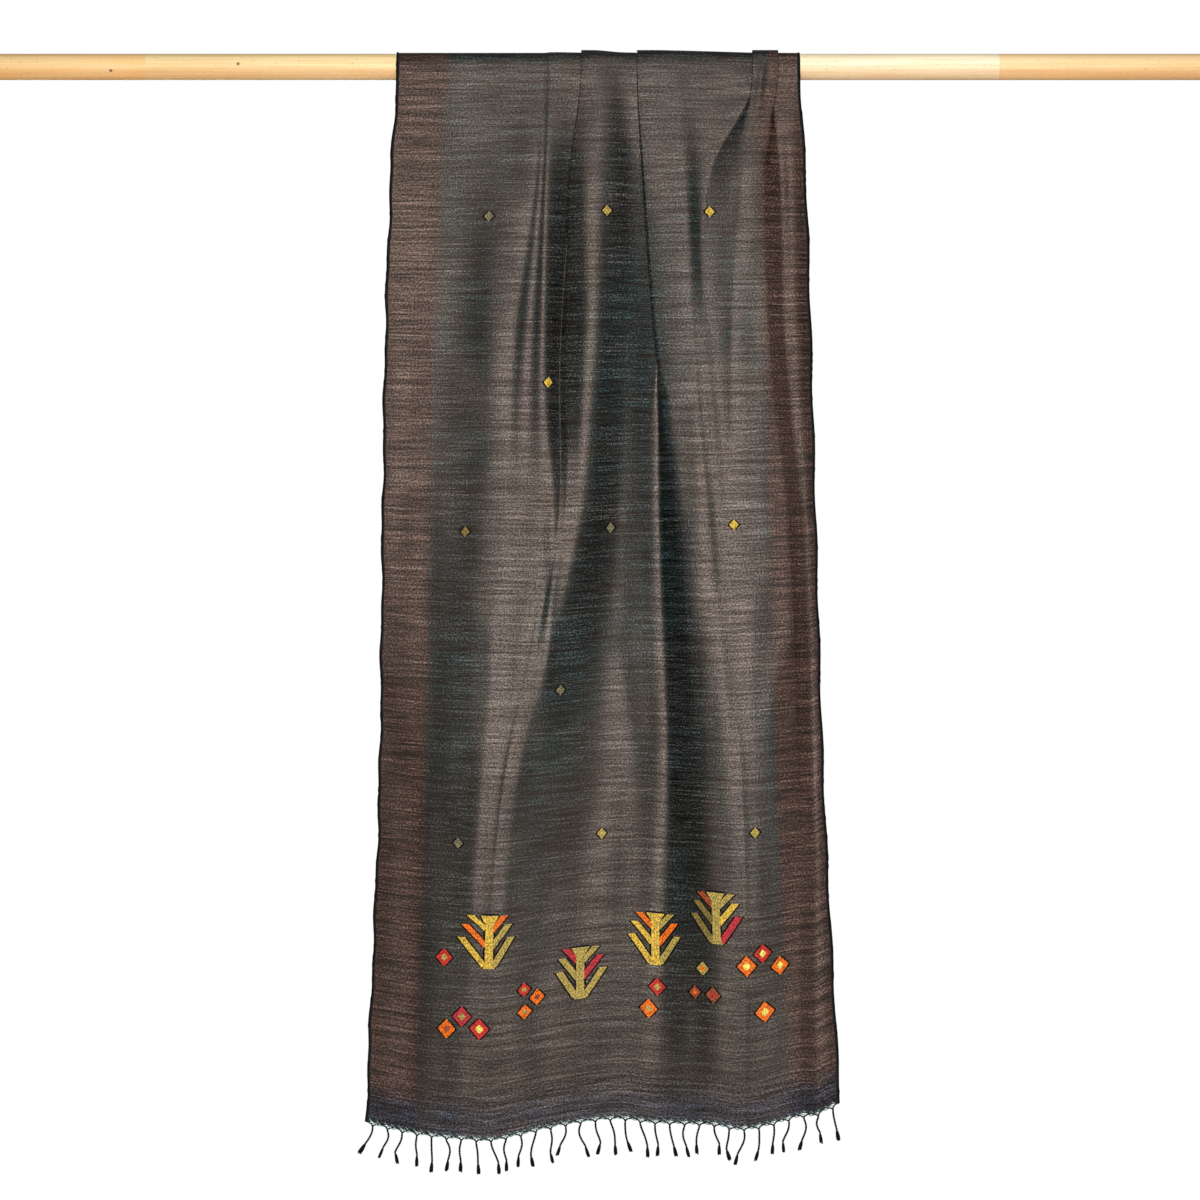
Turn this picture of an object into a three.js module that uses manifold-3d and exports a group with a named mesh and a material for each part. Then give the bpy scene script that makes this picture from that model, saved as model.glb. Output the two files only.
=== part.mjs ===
// A handwoven silk scarf draped over a round wooden rod.
//
// Frame: millimetres, +Z up, +X to the right of someone who faces the scarf. The origin is on the
// rod's axis at the middle of its length, and the front of the scarf faces -Y.
//
// The cloth is one length without a seam. It is cut here, with a hairline gap, into the stretch in
// front of the rod, the stretch on it and the stretch behind it. Every cross-section is a chain of
// named folds: flat pleats on the rod that open into soft waves further down.

import * as THREE from 'three';
import { mergeVertices } from 'three/addons/utils/BufferGeometryUtils.js';
import Module from 'manifold-3d';

const wasm = await Module();
wasm.setup();

// ---- driving dimensions -------------------------------------------------------------------

const ROD_RADIUS = 14;
const ROD_LENGTH = 1400;
const ROD_SIDES = 48;
const CLOTH_LENGTH = 2000;
const CLOTH_WALL = 1.0;
const GAP = 0.3;
const LAY_RADIUS = ROD_RADIUS + GAP + CLOTH_WALL / 2;

const FRONT_DROP = 1120;
const BACK_DROP = 813;
const FRONT_LEVELS = [0, 120, 300, 500, 780, 1120];
const FRONT_ROWS = [GAP / 2, 16, 40, 75, 120, 170, 225, 300, 370, 440, 510, 590, 680, 780, 880,
  970, 1050, FRONT_DROP];
const BACK_ROWS = [GAP / 2, 20, 55, 100, 160, 230, 310, 400, 500, 600, 710, BACK_DROP];
const TURN_STEPS = 9;

// The back drop opens as the front one does, a little narrower and with its folds moved about.
const BACK_NARROWING = 0.025;
const BACK_SWAY = 5;
const BACK_DEPTH = 0.9;
const BACK_DEPTH_CHANGE = 0.15;
const BACK_STANDS_OFF = 6;

const STRAND_COUNT = 32;
const STRAND_WIDTH = 2.2;
const STRAND_LENGTH = 36;
const STRAND_LENGTH_CHANGE = 5;
const KNOT_WIDTH = 4.2;
const TUFT_WIDTH = 5;
const TUFT_LENGTH = 9;
const STRIP_HEIGHT = 3;
const STRIP_EDGE = 1.5;

// How far each strand's tip lies to the right of its root. The back hem repeats a part of it.
const FRONT_LEANS = [-14, -8, -6, 0, 0, 1, -1, 3, 9, 0, -3, -4, 2, -9, 8, 3, 6, 6, 9, 3, 7, 4, -3,
  6, 0, -9, -3, -2, -6, -4, 3, 6];
const BACK_LEANS = FRONT_LEANS.slice(1, 24);

// One row for each fold, from the left edge to the right one. The columns x, forward, lap and
// rise have a value for each of FRONT_LEVELS, in millimetres.
//   x        place of the fold line, or of a pleat's visible edge
//   forward  how far the cloth stands out from the plane in which it leaves the rod
//   lap      how far a pleat's hidden layer runs behind its edge, less than nothing once it opens
//   rise     how far the pleat's upper layer stands above its lower one
//   over     the side whose layer lies on top
//   hem      how far below the rod's axis the front hem is at this fold
const FOLDS = [
  { name: 'left edge', hem: 1136,
    x: [-216.5, -223, -229, -232, -236, -250], forward: [0, 1, 0, -1, -4, -3] },
  { name: 'left trough', hem: 1147,
    x: [-165, -160, -168, -176, -184, -198], forward: [0, -2, 0, 3, 6, 4] },
  { name: 'left crest', hem: 1151,
    x: [-66, -70, -96, -108, -130, -152], forward: [0, 8, 12, 15, 18, 9] },
  { name: 'furrow beside it', hem: 1151,
    x: [-57, -61, -75, -84, -119, -141], forward: [0, 5, 4.5, 12, 17.6, 9.2] },
  { name: 'narrow crest', hem: 1153,
    x: [-50, -53, -56, -57, -108.5, -130], forward: [1, 7.5, 11, 15.5, 17, 9.3] },
  { name: 'small pleat', hem: 1153, over: 'right',
    x: [-18, -31, -34, -37, -97.5, -118], forward: [0, -4, -4, 13, 16, 9.4],
    lap: [12, 6, -7, -8, -7, -7], rise: [3, 7, 7, 1.5, -0.4, -0.2] },
  { name: 'middle crest', hem: 1152,
    x: [0, -6, -8, -16, -86, -106], forward: [3, 9, 13, 14.5, 14.5, 9.2] },
  { name: 'foot of the middle slope', hem: 1136,
    x: [14, 16, 22, 12, -16, -36], forward: [1.5, 4, 1, -3, -4, 3] },
  { name: 'middle valley', hem: 1130,
    x: [26, 36, 42, 37, 42, 24], forward: [0.5, -4, -6, -6.5, -9, -3] },
  { name: 'large pleat', hem: 1136, over: 'right',
    x: [42, 47.5, 61, 87, 113, 127], forward: [0, -8, -12, -14, -14.5, -4],
    lap: [20, 15, 5, -20, -38, -74], rise: [3, 12, 18, 27, 29.5, 13] },
  { name: 'right crest', hem: 1141,
    x: [76, 88, 98, 116, 140, 148], forward: [3, 7, 12, 17.5, 20, 11] },
  { name: 'bunched pleat', hem: 1140, over: 'right',
    x: [166, 148, 136, 137, 161, 164], forward: [0, 1.5, 8.5, 15, 21, 11.5],
    lap: [9, -32, -26, -9, -7, -7], rise: [3, 6, 3.5, 1, -0.5, -0.5] },
  { name: 'outer crest', hem: 1137,
    x: [178, 158, 147, 156, 176, 180], forward: [3, 9, 14, 17.5, 20, 11] },
  { name: 'border pleat', hem: 1126.5, over: 'left',
    x: [194, 177, 181, 202, 212, 216], forward: [0, 2, 7, 9, 9, 7],
    lap: [10, -20, -21, -19, -19, -20], rise: [3, 7, 5, 5, 5, 2.5] },
  { name: 'border crest', hem: 1119,
    x: [206, 208, 214, 227, 236.5, 246], forward: [0, 4.5, 8, 8.5, 9, 7] },
  { name: 'right edge', hem: 1115,
    x: [217, 223.5, 229, 234, 242.5, 260], forward: [0, 1, 4, 6.5, 7.5, 4] },
];

// A pleat counts as open where its lap is below the first of these, as shut above the second.
const PLEAT_OPEN = -5;
const PLEAT_SHUT = 3;

// Each bend is a curve from halfway along one stretch to halfway along the next. In a shut pleat it
// reaches no further than half of the shorter one. These are the places of its points.
const BEND_STEPS = [0.25, 0.75];

// ---- small helpers ------------------------------------------------------------------------

const mix = (a, b, t) => a + (b - a) * t;

function ease(t) {
  const c = Math.min(Math.max(t, 0), 1);
  return c * c * (3 - 2 * c);
}

// A repeatable number from -1 to 1 for each index, so that strands differ.
function uneven(index, seed) {
  const wave = Math.sin(index * 12.9898 + seed * 78.233) * 43758.5453;
  return 2 * (wave - Math.floor(wave)) - 1;
}

// The value of one table column at a depth below the rod's axis, on a smooth curve.
function columnAt(column, depth) {
  const last = FRONT_LEVELS.length - 1;
  const reach = Math.min(depth, FRONT_LEVELS[last]);
  let k = 0;
  while (k < last - 1 && reach > FRONT_LEVELS[k + 1]) k += 1;
  const slope = (i) => {
    if (i === 0) return 0;
    const after = Math.min(i + 1, last);
    return (column[after] - column[i - 1]) / (FRONT_LEVELS[after] - FRONT_LEVELS[i - 1]);
  };
  const span = FRONT_LEVELS[k + 1] - FRONT_LEVELS[k];
  const t = (reach - FRONT_LEVELS[k]) / span;
  const hold = mix(column[k], column[k + 1], ease(t));
  const lead = slope(k) * span * t * (1 - t) * (1 - t);
  const trail = slope(k + 1) * span * t * t * (1 - t);
  return hold + lead - trail;
}

// ---- the cloth's cross-section ------------------------------------------------------------

// The four corners of a pleat, as steps from its visible edge on the lower layer.
function pleatCorners(fold, lap, rise, shut) {
  const corners = [
    [lap, 0],
    [lap * mix(2 / 3, 1, shut), rise * mix(1 / 3, 1 / 2, shut)],
    [lap * mix(1 / 3, 0, shut), rise * mix(2 / 3, 1 / 2, shut)],
    [0, rise],
  ];
  if (fold.over === 'right') return corners;
  return corners.reverse().map(([x, up]) => [-x, up]);
}

// The fold lines at a depth as a chain of corners with x, forward, hem and softness.
function foldChain(depth, behind) {
  const away = behind ? ease(depth / BACK_DROP) : 0;
  const chain = [];
  FOLDS.forEach((fold, index) => {
    const inside = Math.sin((Math.PI * index) / (FOLDS.length - 1));
    const sway = BACK_SWAY * away * inside * Math.sin(0.9 * index);
    const deeper = BACK_DEPTH + BACK_DEPTH_CHANGE * Math.cos(0.8 * index);
    const x = columnAt(fold.x, depth) * (1 - BACK_NARROWING * away) + sway;
    const forward = columnAt(fold.forward, depth) * mix(1, deeper, away) + BACK_STANDS_OFF * away;
    if (!fold.over) {
      chain.push({ x, forward, hem: fold.hem, soft: 1 });
      return;
    }
    const lap = columnAt(fold.lap, depth);
    const rise = columnAt(fold.rise, depth);
    const shut = ease((lap - PLEAT_OPEN) / (PLEAT_SHUT - PLEAT_OPEN));
    pleatCorners(fold, lap, rise, shut).forEach(([dx, up]) => {
      chain.push({ x: x + dx, forward: forward + up, hem: fold.hem, soft: 1 - shut });
    });
  });
  return chain;
}

// The chain with each corner rounded, as points of the cloth's middle surface.
function section(depth, behind = false) {
  const chain = foldChain(depth, behind);
  const points = [chain[0]];
  for (let k = 1; k < chain.length - 1; k += 1) {
    const [before, corner, after] = [chain[k - 1], chain[k], chain[k + 1]];
    const lengthIn = Math.hypot(corner.x - before.x, corner.forward - before.forward);
    const lengthOut = Math.hypot(after.x - corner.x, after.forward - corner.forward);
    const shorter = Math.min(lengthIn, lengthOut);
    BEND_STEPS.forEach((t) => {
      const inward = ((1 - t) * (1 - t) * mix(shorter / lengthIn, 1, corner.soft)) / 2;
      const onward = (t * t * mix(shorter / lengthOut, 1, corner.soft)) / 2;
      const blend = (key) => corner[key] + (before[key] - corner[key]) * inward
        + (after[key] - corner[key]) * onward;
      points.push({ x: blend('x'), forward: blend('forward'), hem: blend('hem') });
    });
  }
  points.push(chain[chain.length - 1]);
  return points;
}

// The section moved out by a distance, with mitred corners.
function offsetSection(points, distance) {
  const sideways = (a, b) => {
    const run = b.x - a.x;
    const climb = b.forward - a.forward;
    const length = Math.hypot(run, climb);
    return [-climb / length, run / length];
  };
  return points.map((point, k) => {
    const last = points.length - 1;
    const first = sideways(points[Math.max(k - 1, 0)], points[Math.max(k, 1)]);
    const second = sideways(points[Math.min(k, last - 1)], points[Math.min(k + 1, last)]);
    const sum = [first[0] + second[0], first[1] + second[1]];
    const scale = (2 * distance) / (sum[0] * sum[0] + sum[1] * sum[1]);
    return { x: point.x + sum[0] * scale, forward: point.forward + sum[1] * scale, hem: point.hem };
  });
}

// ---- places in space ----------------------------------------------------------------------

// The weft lines lie level at the rod and take the hem's curve further down.
function placeFront(point, depth) {
  const onCloth = Math.min(depth, FRONT_DROP);
  const curve = (point.hem - FRONT_DROP) * (onCloth / FRONT_DROP) ** 2;
  return new THREE.Vector3(point.x, -(LAY_RADIUS + point.forward), -depth - curve);
}

// What the front takes of the cloth's length, the back has less.
function placeBack(point, depth) {
  const onCloth = Math.min(depth, BACK_DROP);
  const hem = CLOTH_LENGTH - Math.PI * LAY_RADIUS - point.hem;
  const curve = (hem - BACK_DROP) * (onCloth / BACK_DROP) ** 2;
  return new THREE.Vector3(point.x, LAY_RADIUS + point.forward, -depth - curve);
}

function placeTurn(point, angle) {
  const radius = LAY_RADIUS + point.forward;
  return new THREE.Vector3(point.x, -radius * Math.cos(angle), radius * Math.sin(angle));
}

// ---- meshes -------------------------------------------------------------------------------

function closedGeometry(vertices, triangles) {
  const geometry = new THREE.BufferGeometry();
  const numbers = vertices.flatMap((v) => [v.x, v.y, v.z]);
  let volume = 0;
  triangles.forEach(([a, b, c]) => {
    volume += vertices[a].dot(new THREE.Vector3().crossVectors(vertices[b], vertices[c]));
  });
  const outward = volume > 0 ? triangles : triangles.map(([a, b, c]) => [a, c, b]);
  geometry.setAttribute('position', new THREE.Float32BufferAttribute(numbers, 3));
  geometry.setIndex(outward.flat());
  geometry.computeVertexNormals();
  return geometry;
}

// A closed wall from rows of sections: an outer skin, an inner one, and the rim between them.
function wallGeometry(rows, wall) {
  const columns = rows[0].points.length;
  const skins = [wall / 2, -wall / 2].map((distance) => (
    rows.map((row) => offsetSection(row.points, distance).map(row.place))));
  const vertices = skins.flat(2);
  const at = (skin, row, column) => (skin * rows.length + row) * columns + column;
  const triangles = [];
  const quad = (a, b, c, d) => triangles.push([a, b, c], [a, c, d]);
  for (let r = 0; r < rows.length - 1; r += 1) {
    for (let c = 0; c < columns - 1; c += 1) {
      quad(at(0, r, c), at(0, r + 1, c), at(0, r + 1, c + 1), at(0, r, c + 1));
      quad(at(1, r, c), at(1, r, c + 1), at(1, r + 1, c + 1), at(1, r + 1, c));
    }
    quad(at(0, r, 0), at(1, r, 0), at(1, r + 1, 0), at(0, r + 1, 0));
    const end = columns - 1;
    quad(at(0, r, end), at(0, r + 1, end), at(1, r + 1, end), at(1, r, end));
  }
  const lastRow = rows.length - 1;
  for (let c = 0; c < columns - 1; c += 1) {
    quad(at(0, 0, c), at(0, 0, c + 1), at(1, 0, c + 1), at(1, 0, c));
    quad(at(0, lastRow, c), at(1, lastRow, c), at(1, lastRow, c + 1), at(0, lastRow, c + 1));
  }
  return closedGeometry(vertices, triangles);
}

function dropRows(depths, place, behind) {
  return depths.map((depth) => ({
    points: section(depth, behind),
    place: (point) => place(point, depth),
  }));
}

function turnRows() {
  const start = GAP / 2 / LAY_RADIUS;
  return Array.from({ length: TURN_STEPS + 1 }, (_, step) => {
    const angle = mix(start, Math.PI - start, step / TURN_STEPS);
    return { points: section(0), place: (point) => placeTurn(point, angle) };
  });
}

// ---- fringe -------------------------------------------------------------------------------

// The middle surface's point at a share of the way from the left edge to the right one.
function pointAcross(points, share) {
  const steps = points.slice(1).map((point, k) => (
    Math.hypot(point.x - points[k].x, point.forward - points[k].forward)));
  let left = share * steps.reduce((sum, step) => sum + step, 0);
  let k = 0;
  while (k < steps.length - 1 && left > steps[k]) {
    left -= steps[k];
    k += 1;
  }
  const t = left / steps[k];
  const key = (name) => mix(points[k][name], points[k + 1][name], t);
  return { x: key('x'), forward: key('forward'), hem: key('hem') };
}

// A four-sided strand: a thin cord, a knot and a tuft that flares out below it.
function strandGeometry(root, lean, length) {
  const rings = [
    { down: 0, width: STRAND_WIDTH },
    { down: 0.45 * length, width: STRAND_WIDTH },
    { down: length - KNOT_WIDTH, width: STRAND_WIDTH },
    { down: length - KNOT_WIDTH / 2, width: KNOT_WIDTH },
    { down: length, width: STRAND_WIDTH * 1.2 },
    { down: length + TUFT_LENGTH, width: TUFT_WIDTH },
  ];
  const vertices = [];
  rings.forEach(({ down, width }) => {
    const away = lean * ease(down / (length + TUFT_LENGTH));
    [[-1, -1], [1, -1], [1, 1], [-1, 1]].forEach(([sx, sy]) => {
      const x = root.x + away + (sx * width) / 2;
      vertices.push(new THREE.Vector3(x, root.y + (sy * width) / 2, root.z - down));
    });
  });
  const triangles = [[0, 2, 1], [0, 3, 2]];
  for (let ring = 0; ring < rings.length - 1; ring += 1) {
    for (let side = 0; side < 4; side += 1) {
      const a = ring * 4 + side;
      const b = ring * 4 + ((side + 1) % 4);
      triangles.push([a, b, b + 4], [a, b + 4, a + 4]);
    }
  }
  const end = (rings.length - 1) * 4;
  triangles.push([end, end + 1, end + 2], [end, end + 2, end + 3]);
  return closedGeometry(vertices, triangles);
}

function toManifold(geometry) {
  const bare = geometry.clone();
  bare.deleteAttribute('normal');
  const merged = mergeVertices(bare);
  return new wasm.Manifold(new wasm.Mesh({
    numProp: 3,
    vertProperties: new Float32Array(merged.attributes.position.array),
    triVerts: new Uint32Array(merged.index.array),
  }));
}

function fromManifold(solid) {
  const mesh = solid.getMesh();
  const geometry = new THREE.BufferGeometry();
  geometry.setAttribute('position', new THREE.Float32BufferAttribute(mesh.vertProperties, 3));
  geometry.setIndex(Array.from(mesh.triVerts));
  geometry.computeVertexNormals();
  return geometry;
}

// The strands of one hem, fused at their roots into a strip just below the cloth's edge.
function fringeGeometry(drop, place, behind, leans, seed) {
  const top = drop + GAP;
  const hemLine = section(drop, behind);
  const strip = wallGeometry([top, top + STRIP_HEIGHT].map((depth) => ({
    points: hemLine,
    place: (point) => place(point, depth),
  })), CLOTH_WALL + 2 * GAP);
  let solid = toManifold(strip);
  for (let k = 0; k < STRAND_COUNT; k += 1) {
    const share = mix(STRIP_EDGE, 100 - STRIP_EDGE, k / (STRAND_COUNT - 1)) / 100;
    const root = place(pointAcross(hemLine, share), top + STRIP_HEIGHT / 2);
    const lean = leans[k % leans.length];
    const length = STRAND_LENGTH + STRAND_LENGTH_CHANGE * uneven(k, seed + 1);
    solid = solid.add(toManifold(strandGeometry(root, lean, length)));
  }
  return fromManifold(solid);
}

function rodGeometry() {
  const geometry = new THREE.CylinderGeometry(ROD_RADIUS, ROD_RADIUS, ROD_LENGTH, ROD_SIDES);
  geometry.rotateZ(Math.PI / 2);
  return geometry;
}

// ---- the scene ----------------------------------------------------------------------------

const silk = { color: 0x4a403f, roughness: 0.55, metalness: 0, side: THREE.DoubleSide };
const yarn = { color: 0x15191c, roughness: 0.85, metalness: 0 };
const beech = { color: 0xe9c391, roughness: 0.5, metalness: 0 };

const group = new THREE.Group();

function addPart(name, geometry, finish) {
  const mesh = new THREE.Mesh(geometry, new THREE.MeshStandardMaterial(finish));
  mesh.name = name;
  group.add(mesh);
}

addPart('rod', rodGeometry(), beech);
addPart('scarf_front', wallGeometry(dropRows(FRONT_ROWS, placeFront, false), CLOTH_WALL), silk);
addPart('scarf_turn', wallGeometry(turnRows(), CLOTH_WALL), silk);
addPart('scarf_back', wallGeometry(dropRows(BACK_ROWS, placeBack, true), CLOTH_WALL), silk);
addPart('fringe_front', fringeGeometry(FRONT_DROP, placeFront, false, FRONT_LEANS, 1), yarn);
addPart('fringe_back', fringeGeometry(BACK_DROP, placeBack, true, BACK_LEANS, 2), yarn);

export default group;
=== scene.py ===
# %% [markdown]
# # A handwoven silk scarf over a wooden rod
# The scarf is one length of plain-woven silk with a brocaded end and knotted fringes. It hangs over
# a beech rod, so nearly all of its form is drape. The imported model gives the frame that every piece
# has to fit, and its box is kept so that the finished model can be set against it.

# %% Load the frame
import math

import bpy
import numpy as np
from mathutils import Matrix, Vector, noise


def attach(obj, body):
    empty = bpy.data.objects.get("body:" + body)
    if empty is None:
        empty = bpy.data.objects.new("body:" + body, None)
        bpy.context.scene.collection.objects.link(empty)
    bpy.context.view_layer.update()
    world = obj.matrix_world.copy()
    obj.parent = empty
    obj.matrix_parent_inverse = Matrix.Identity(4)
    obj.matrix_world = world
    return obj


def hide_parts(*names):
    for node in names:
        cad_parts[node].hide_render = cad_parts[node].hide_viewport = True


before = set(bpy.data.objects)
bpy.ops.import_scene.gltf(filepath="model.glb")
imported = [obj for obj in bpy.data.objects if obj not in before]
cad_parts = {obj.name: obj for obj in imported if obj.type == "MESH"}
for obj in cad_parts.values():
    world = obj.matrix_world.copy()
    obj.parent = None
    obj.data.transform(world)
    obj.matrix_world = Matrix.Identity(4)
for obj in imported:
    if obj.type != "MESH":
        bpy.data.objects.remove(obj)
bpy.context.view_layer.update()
MM = 0.001
print("frame holds", sorted(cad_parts))

# %% [markdown]
# ## Small tools
# Operators act on all that is selected, so everything is deselected before a new piece is made.
# Colours are written as they look on a screen, and shaders use linear values.


# %% Selecting, colours and nodes
def deselect_all():
    bpy.ops.object.select_all(action="DESELECT")


def apply_place():
    """Bakes the active piece's place, turn and scale into its mesh."""
    bpy.ops.object.transform_apply(location=True, rotation=True, scale=True)


def bisect_at(places, axis):
    """Cuts new edges round the active piece at places along an axis, in millimetres."""
    bpy.ops.object.mode_set(mode="EDIT")
    for place in places:
        bpy.ops.mesh.select_all(action="SELECT")
        bpy.ops.mesh.bisect(plane_co=[c * place * MM for c in axis], plane_no=axis)
    bpy.ops.object.mode_set(mode="OBJECT")


def finish_object(piece, name, *materials):
    """Names a piece, bakes its place into its mesh and gives it its finishes."""
    piece.name = piece.data.name = name
    deselect_all()
    piece.select_set(True)
    bpy.context.view_layer.objects.active = piece
    apply_place()
    piece.data.materials.clear()
    for material in materials:
        piece.data.materials.append(material)
    return piece


def colour(hex_code):
    """A screen colour such as #4a403f as a linear one."""
    channels = [int(hex_code[k:k + 2], 16) / 255 for k in (1, 3, 5)]
    linear = [c / 12.92 if c <= 0.04045 else ((c + 0.055) / 1.055) ** 2.4 for c in channels]
    return (*linear, 1.0)


def add_node(tree, kind, inputs=None, links=None, **settings):
    """Adds a node with its settings, its input values and the sockets that feed it."""
    node = tree.nodes.new(kind)
    for key, value in settings.items():
        setattr(node, key, value)
    for key, value in (inputs or {}).items():
        node.inputs[key].default_value = value
    for key, source in (links or {}).items():
        tree.links.new(source, node.inputs[key])
    return node


def new_material(name, **inputs):
    """A material with one Principled shader, whose own sockets hold what doesn't vary."""
    material = bpy.data.materials.new(name)
    material.use_nodes = True
    shader = material.node_tree.nodes["Principled BSDF"]
    for key, value in inputs.items():
        shader.inputs[key.replace("_", " ")].default_value = value
    return material, material.node_tree, shader


def mix(a, b, t):
    return a + (b - a) * t


def ease(t):
    c = np.clip(t, 0, 1)
    return c * c * (3 - 2 * c)


def unit(vectors):
    return vectors / np.linalg.norm(vectors, axis=1)[:, None]


def uneven(index, seed):
    """A repeatable number from -1 to 1 for each index."""
    wave = math.sin(index * 12.9898 + seed * 78.233) * 43758.5453
    return 2 * (wave - math.floor(wave)) - 1


# %% [markdown]
# ## Camera
# The scarf is seen straight on through a long lens, so its sides stay parallel and the rod runs out
# of the view at both ends. The rod's thickness sets the scale: the view is about 1.3 m wide.

# %% The camera
VIEW_PIXELS = 1200
MM_PER_PIXEL = 1.08
ROD_AT_PIXEL = (598, 67)
LENS = 90
SENSOR = 36
CAMERA_AWAY = VIEW_PIXELS * MM_PER_PIXEL * MM * LENS / SENSOR
camera_x = (VIEW_PIXELS / 2 - ROD_AT_PIXEL[0]) * MM_PER_PIXEL * MM
camera_z = -(VIEW_PIXELS / 2 - ROD_AT_PIXEL[1]) * MM_PER_PIXEL * MM

deselect_all()
bpy.ops.object.camera_add(location=(camera_x, -CAMERA_AWAY, camera_z), rotation=(math.pi / 2, 0, 0))
camera = bpy.context.object
camera.name = "camera"
camera.data.lens = LENS
camera.data.sensor_width = SENSOR
bpy.context.scene.camera = camera
print("camera stands", round(CAMERA_AWAY, 2), "m away")

# %% [markdown]
# ## Studio
# One light beside the camera makes what faces the viewer bright and lets the sides of each fold
# fall dark, which is what draws silk. A weaker one from above models the top of the rod, and one
# behind shows the back. The floor lies where it would under a rod at head height.

# %% Lights, world and floor
FLOOR_BELOW = 1.75
# Each row holds a light's place, its size in metres and its watts.
LIGHTS = {
    "key_light": ((0.0, -3.4, -0.45), 0.5, 118),
    "top_light": ((0.5, -1.6, 1.5), 1.2, 16),
    "back_light": ((-0.6, 3.0, 0.2), 1.6, 70),
}
LOOK_AT = Vector((0, 0, -0.5))

for name, (at, size, watts) in LIGHTS.items():
    deselect_all()
    bpy.ops.object.light_add(type="AREA", location=at)
    lamp = bpy.context.object
    lamp.name = name
    lamp.data.size = size
    lamp.data.energy = watts
    lamp.rotation_euler = (LOOK_AT - lamp.location).to_track_quat("-Z", "Y").to_euler()

world = bpy.data.worlds.new("white_room")
bpy.context.scene.world = world
world.use_nodes = True
room = world.node_tree
room.nodes.clear()
seen = add_node(room, "ShaderNodeBackground", {"Color": (1, 1, 1, 1), "Strength": 1.0})
soft = add_node(room, "ShaderNodeBackground", {"Color": (1, 1, 1, 1), "Strength": 0.1})
ray = add_node(room, "ShaderNodeLightPath")
both = add_node(room, "ShaderNodeMixShader", links={
    0: ray.outputs["Is Camera Ray"], 1: soft.outputs[0], 2: seen.outputs[0]})
add_node(room, "ShaderNodeOutputWorld", links={"Surface": both.outputs[0]})
bpy.context.scene.view_settings.view_transform = "Standard"

deselect_all()
bpy.ops.mesh.primitive_plane_add(size=1, location=(0, -0.4, -FLOOR_BELOW))
floor = bpy.context.object
floor.scale = (4.5, 4.2, 1)
pale_floor, _, _ = new_material("pale_floor", Base_Color=colour("#e9e7e3"), Roughness=0.85)
finish_object(floor, "floor", pale_floor)
print("floor at", -FLOOR_BELOW)

# %% [markdown]
# ## The drape
# A hung cloth keeps its width: what a pleat takes up near the rod has to be given back lower down.
# So each cross-section is a chain of named folds, the same ones as in the solid. On the rod the
# pleats lie flat, layer on layer, and lower down they open into broad waves that wander a little.

# %% Sizes and folds, in millimetres
ROD_RADIUS = 14
CLOTH_WALL = 1.0
GAP = 0.3
LAY_RADIUS = ROD_RADIUS + GAP + CLOTH_WALL / 2
CLOTH_WIDTH = 530
CLOTH_LENGTH = 2000
FRONT_DROP = 1120
BACK_DROP = 813
LEVELS = [0, 120, 300, 500, 780, 1120]
BACK_NARROWING = 0.025
BACK_SWAY = 5
BACK_DEPTH = 0.9
BACK_DEPTH_CHANGE = 0.15
BACK_STANDS_OFF = 6
PLEAT_OPEN = -5
PLEAT_SHUT = 3

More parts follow.
